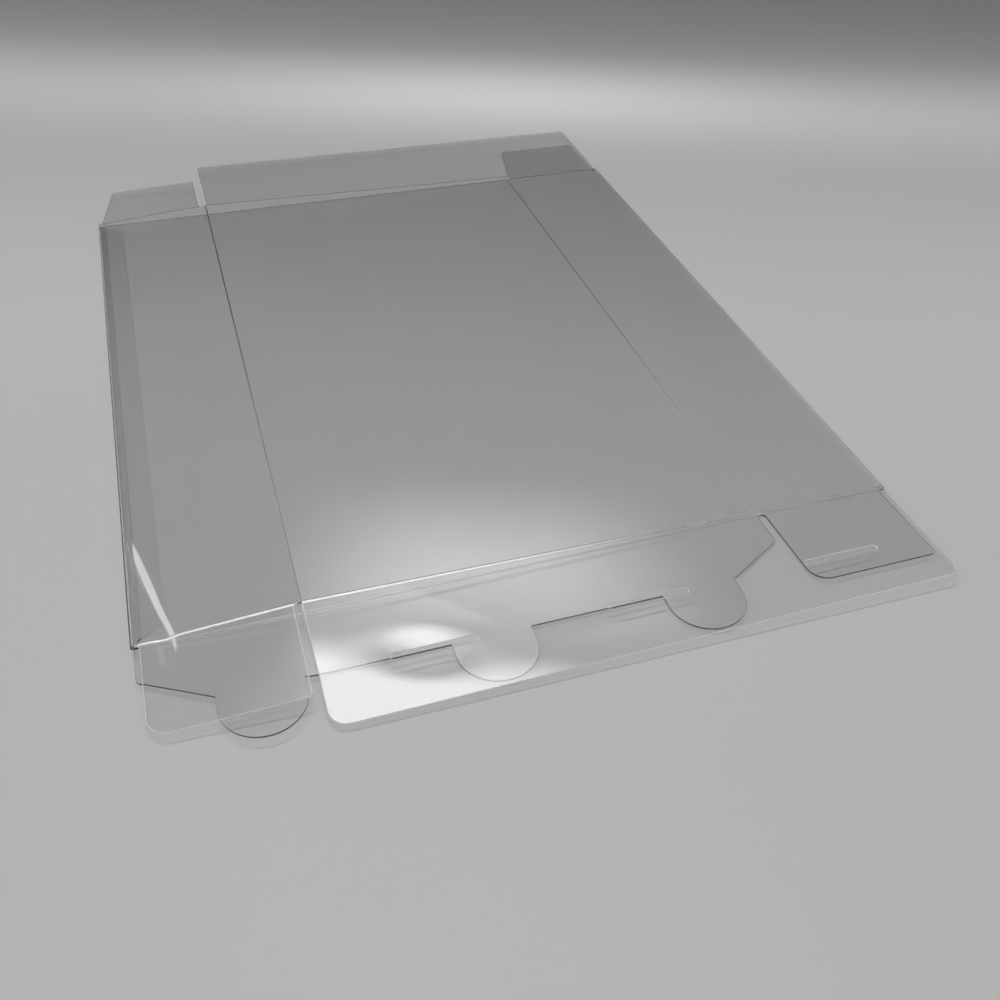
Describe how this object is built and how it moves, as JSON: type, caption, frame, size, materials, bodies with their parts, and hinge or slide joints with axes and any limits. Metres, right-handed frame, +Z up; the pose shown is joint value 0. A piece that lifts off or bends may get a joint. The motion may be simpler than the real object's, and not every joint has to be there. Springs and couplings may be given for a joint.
{
  "type": "clear box protector",
  "caption": "Flat-packed sleeve of clear creased film with glued seam, tongue-and-slot bottom flaps, dust flaps and a lid, for covering a boxed item.",
  "frame": {"origin": "bottom centre of the flat-packed part, on the table", "axes": "+Z up from the table; +Y along the sleeve from the tongue-and-slot end to the lid end; +X across it from the glued fold to the plain fold"},
  "size_m": [0.167, 0.2396, 0.0038],
  "materials": {
    "clear_film": "clear glossy film with scored crease lines"
  },
  "bodies": {
    "sleeve": {"sleeve": "clear_film"},
    "slot_flap": {"slot_flap": "clear_film"},
    "near_side_flap": {"near_side_flap": "clear_film"},
    "lid_flap": {"lid_flap": "clear_film"},
    "far_dust_flap": {"far_dust_flap": "clear_film"}
  },
  "joints": [
    {"name": "slot_flap_crease", "type": "hinge", "parent": "sleeve", "child": "slot_flap", "pos_m": [0.01622, -0.09075, 0.00245], "axis": [-0.9998, 0, 0.0202], "range_deg": [0, 165]},
    {"name": "near_side_flap_crease", "type": "hinge", "parent": "sleeve", "child": "near_side_flap", "pos_m": [-0.06673, -0.09075, 0.00265], "axis": [-0.9975, 0, -0.0707], "range_deg": [0, 165]},
    {"name": "lid_flap_crease", "type": "hinge", "parent": "sleeve", "child": "lid_flap", "pos_m": [0.01622, 0.08675, 0.00245], "axis": [0.9998, 0, -0.0202], "range_deg": [0, 165]},
    {"name": "far_dust_flap_crease", "type": "hinge", "parent": "sleeve", "child": "far_dust_flap", "pos_m": [-0.06673, 0.08675, 0.00265], "axis": [0.9975, 0, 0.0707], "range_deg": [0, 165]}
  ]
}
